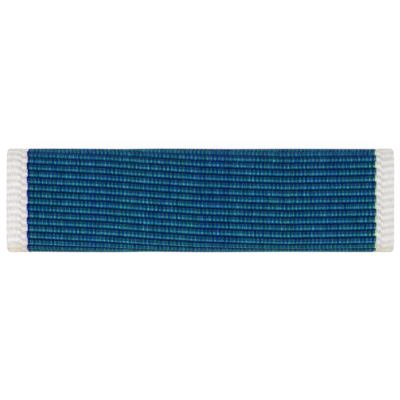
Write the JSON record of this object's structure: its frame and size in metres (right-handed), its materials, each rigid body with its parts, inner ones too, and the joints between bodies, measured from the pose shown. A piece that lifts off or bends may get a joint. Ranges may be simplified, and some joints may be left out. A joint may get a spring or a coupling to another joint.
{
  "type": "ribbon bar",
  "caption": "Service ribbon bar: white-edged blue and green rep ribbon wrapped round a brass bar with a slide channel.",
  "frame": {"origin": "under the middle of the bar, on the surface that it lies on", "axes": "+X along the bar, +Y towards its top edge, +Z out of its front"},
  "size_m": [0.0348, 0.0092, 0.0032],
  "materials": {
    "ribbon_cloth": "woven rep with a soft sheen, blue and green centre and white edge stripes",
    "brass": "plain rolled strip, lightly dulled"
  },
  "bodies": {
    "root": {"ribbon": "ribbon_cloth", "slide_bar": "brass"}
  },
  "joints": []
}
